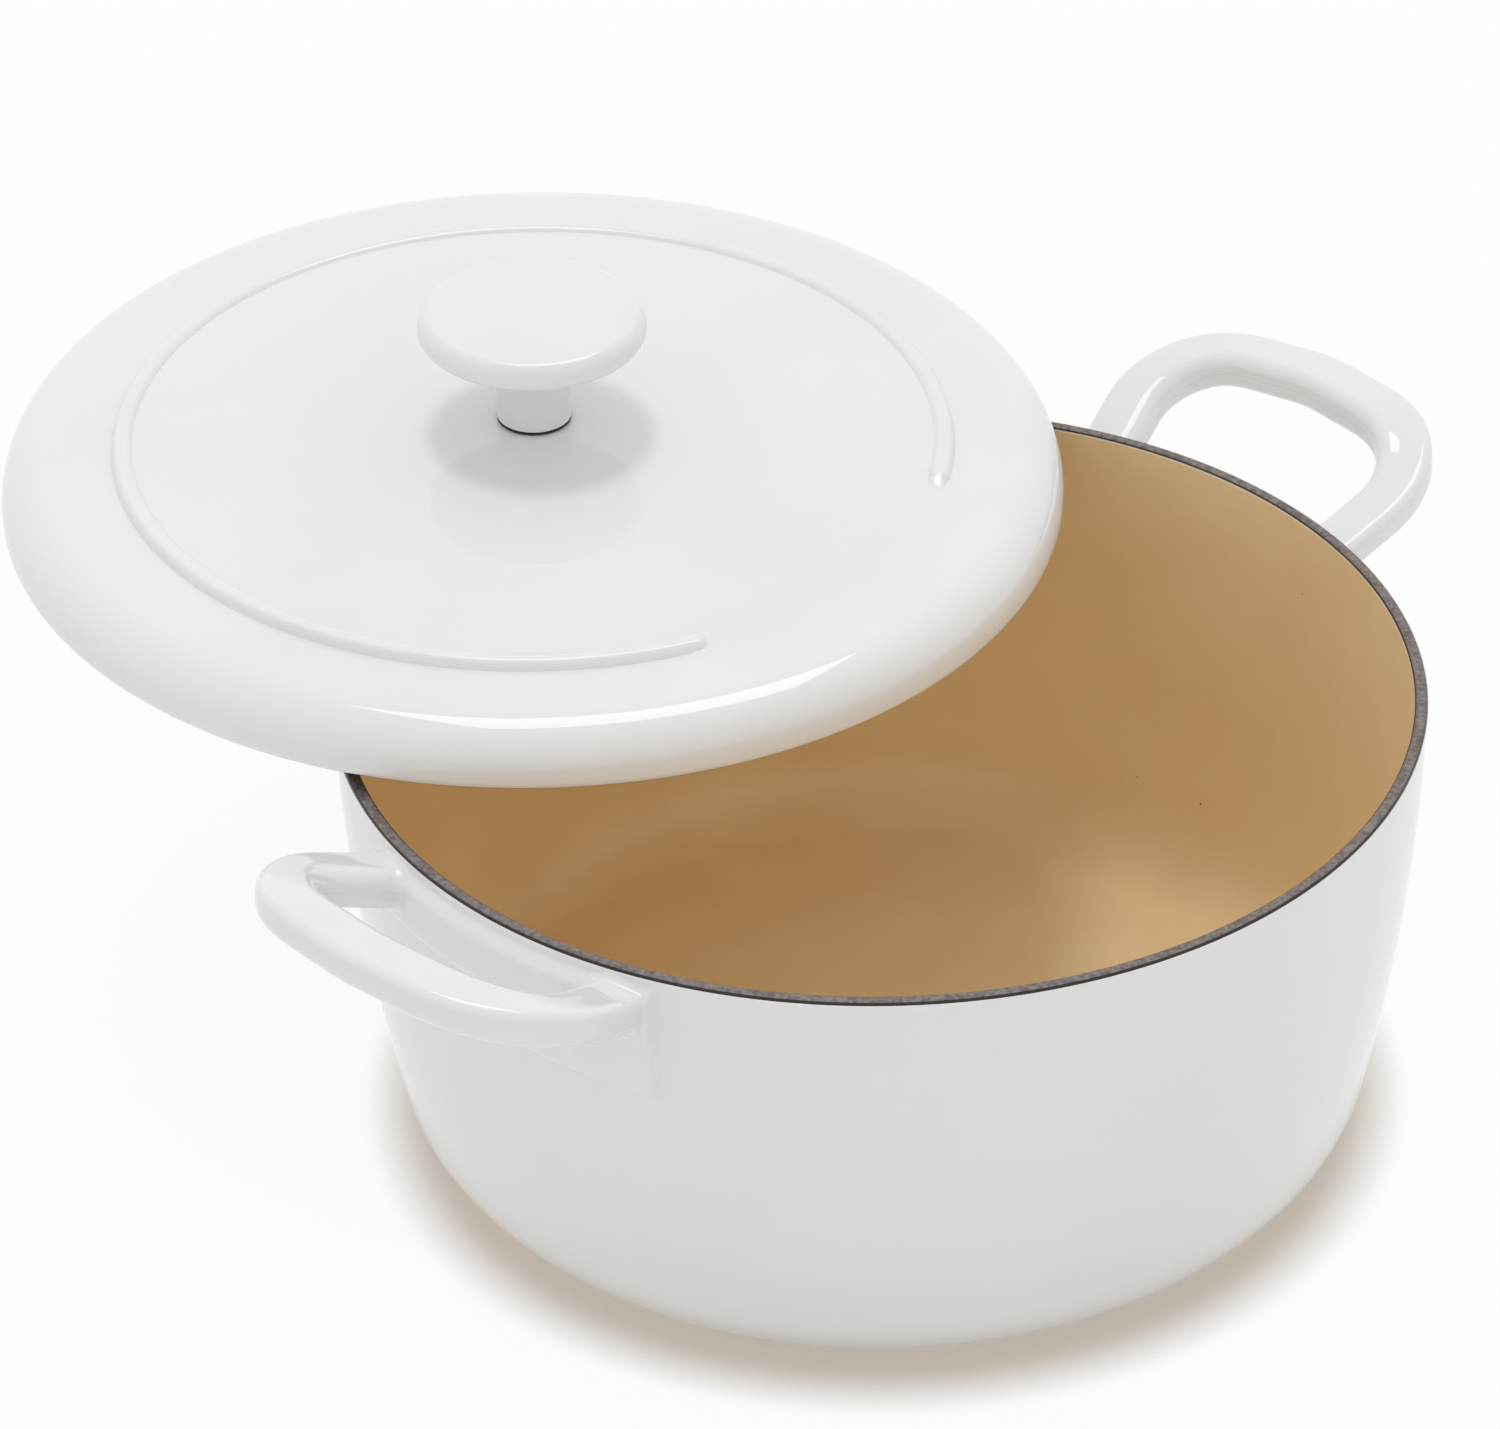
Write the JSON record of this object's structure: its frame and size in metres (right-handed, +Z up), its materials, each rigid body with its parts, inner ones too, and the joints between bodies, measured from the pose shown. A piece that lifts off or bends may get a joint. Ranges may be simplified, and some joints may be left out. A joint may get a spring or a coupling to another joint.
{
  "type": "dutch oven",
  "caption": "Round enamelled cast-iron dutch oven with two cast loop handles and a loose knobbed lid set ajar on the rim, for braising, stewing and baking.",
  "frame": {"origin": "centre of the pot's base, on the surface it stands on", "axes": "+Z up through the pot's mouth, the handles along X, the lid set back towards +Y"},
  "size_m": [0.3584, 0.3894, 0.1793],
  "materials": {
    "pot_enamel": "white gloss enamel outside, sand enamel inside, bare matt dark rim, over cast iron",
    "lid_enamel": "white gloss enamel on top, dark enamel on the seat, over cast iron",
    "knob_enamel": "white gloss enamel over cast iron",
    "gasket": "matt dark silicone ring",
    "fixings": "plain stainless steel"
  },
  "bodies": {
    "pot": {"pot": "pot_enamel"},
    "knob_fixing": {"knob_screw": "fixings", "flat_washer": "fixings", "spring_washer": "fixings"},
    "lid": {"lid": "lid_enamel", "knob": "knob_enamel", "knob_gasket": "gasket"}
  },
  "joints": [
    {"name": "lid_lift", "type": "slide", "parent": "pot", "child": "knob_fixing", "axis": [0, 0, 1], "range_m": [0, 0.15]},
    {"name": "lid_turn", "type": "hinge", "parent": "knob_fixing", "child": "lid", "pos_m": [0.00284, 0.1215, 0.12608], "axis": [0, -0.0389, 0.9992], "continuous": true}
  ]
}
